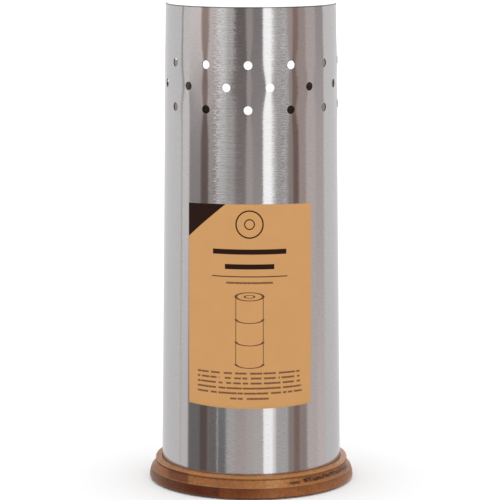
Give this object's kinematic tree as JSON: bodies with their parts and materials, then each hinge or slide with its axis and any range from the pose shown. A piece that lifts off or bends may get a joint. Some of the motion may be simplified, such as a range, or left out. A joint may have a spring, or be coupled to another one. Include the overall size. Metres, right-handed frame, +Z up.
{
  "type": "toilet roll holder",
  "caption": "Free-standing upright tube of brushed steel on a round bamboo base, open down the front, for storing spare toilet rolls.",
  "frame": {"origin": "on the floor, at the centre of the base, on the tube's axis", "axes": "+Z up along the tube, +Y towards the open front, -Y towards the whole back wall with the label, +X to the right when the back is looked at"},
  "size_m": [0.1486, 0.1486, 0.3459],
  "materials": {
    "brushed_steel": "brushed round the tube",
    "bamboo": "satin lacquer",
    "kraft_paper": "matt paper",
    "zinc_plate": "bright zinc plate",
    "pad_rubber": "matt"
  },
  "bodies": {
    "root": {"steel_tube": "brushed_steel", "slot_joining_strip": "brushed_steel", "bamboo_base": "bamboo", "paper_label": "kraft_paper", "fixing_bracket_back": "zinc_plate", "fixing_bracket_right": "zinc_plate", "fixing_bracket_left": "zinc_plate", "bracket_screw_back": "zinc_plate", "bracket_screw_right": "zinc_plate", "bracket_screw_left": "zinc_plate", "anti_slip_pad_1": "pad_rubber", "anti_slip_pad_2": "pad_rubber", "anti_slip_pad_3": "pad_rubber", "anti_slip_pad_4": "pad_rubber"}
  },
  "joints": []
}
